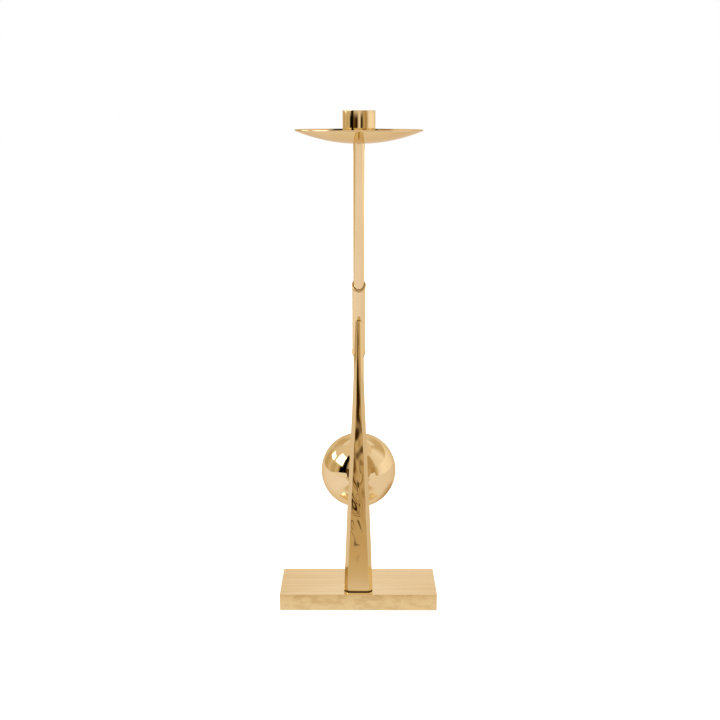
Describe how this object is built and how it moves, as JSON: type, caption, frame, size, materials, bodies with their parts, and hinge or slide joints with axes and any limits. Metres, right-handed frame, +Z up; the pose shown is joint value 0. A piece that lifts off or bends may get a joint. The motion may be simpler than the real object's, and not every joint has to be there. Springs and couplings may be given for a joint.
{
  "type": "candle holder",
  "caption": "Brass candle holder: flat base, tapered post, and a leaning rod that slides and turns in a slant-cut sleeve, with a ball at its foot and a drip dish and candle cup on top.",
  "frame": {"origin": "middle of the underside of the felt pad, where the holder stands on the table", "axes": "+Z up; +X along the long side of the base, to the right seen from the front; -Y towards the front, the way the arm leans"},
  "size_m": [0.135, 0.1427, 0.4181],
  "materials": {
    "base_brass": "fine satin with faint grinding lines, edges crisp",
    "post_brass": "hand polished, slightly wavy",
    "rod_brass": "drawn and polished",
    "sleeve_brass": "drawn and polished, cut ends dressed",
    "ball_brass": "mirror polished",
    "dish_brass": "spun and polished",
    "cup_brass": "turned and polished",
    "peg_brass": "plain turned",
    "felt": "pressed wool felt",
    "liner_nylon": "natural nylon",
    "screw_steel": "zinc plated"
  },
  "bodies": {
    "stand": {"base_plate": "base_brass", "felt_pad": "felt", "post": "post_brass", "post_screw_1": "screw_steel", "post_screw_2": "screw_steel", "sleeve": "sleeve_brass", "sleeve_peg": "peg_brass"},
    "liner": {"friction_liner": "liner_nylon"},
    "arm": {"rod": "rod_brass", "ball": "ball_brass", "ball_stud": "screw_steel", "dish": "dish_brass", "cup": "cup_brass", "cup_washer": "screw_steel", "cup_screw": "screw_steel"}
  },
  "joints": [
    {"name": "arm_turn", "type": "hinge", "parent": "stand", "child": "liner", "pos_m": [0, 0, 0.252], "axis": [0, -0.2079, 0.9781], "continuous": true},
    {"name": "arm_slide", "type": "slide", "parent": "liner", "child": "arm", "axis": [0, -0.2079, 0.9781], "range_m": [-0.0675, 0.0131]}
  ]
}
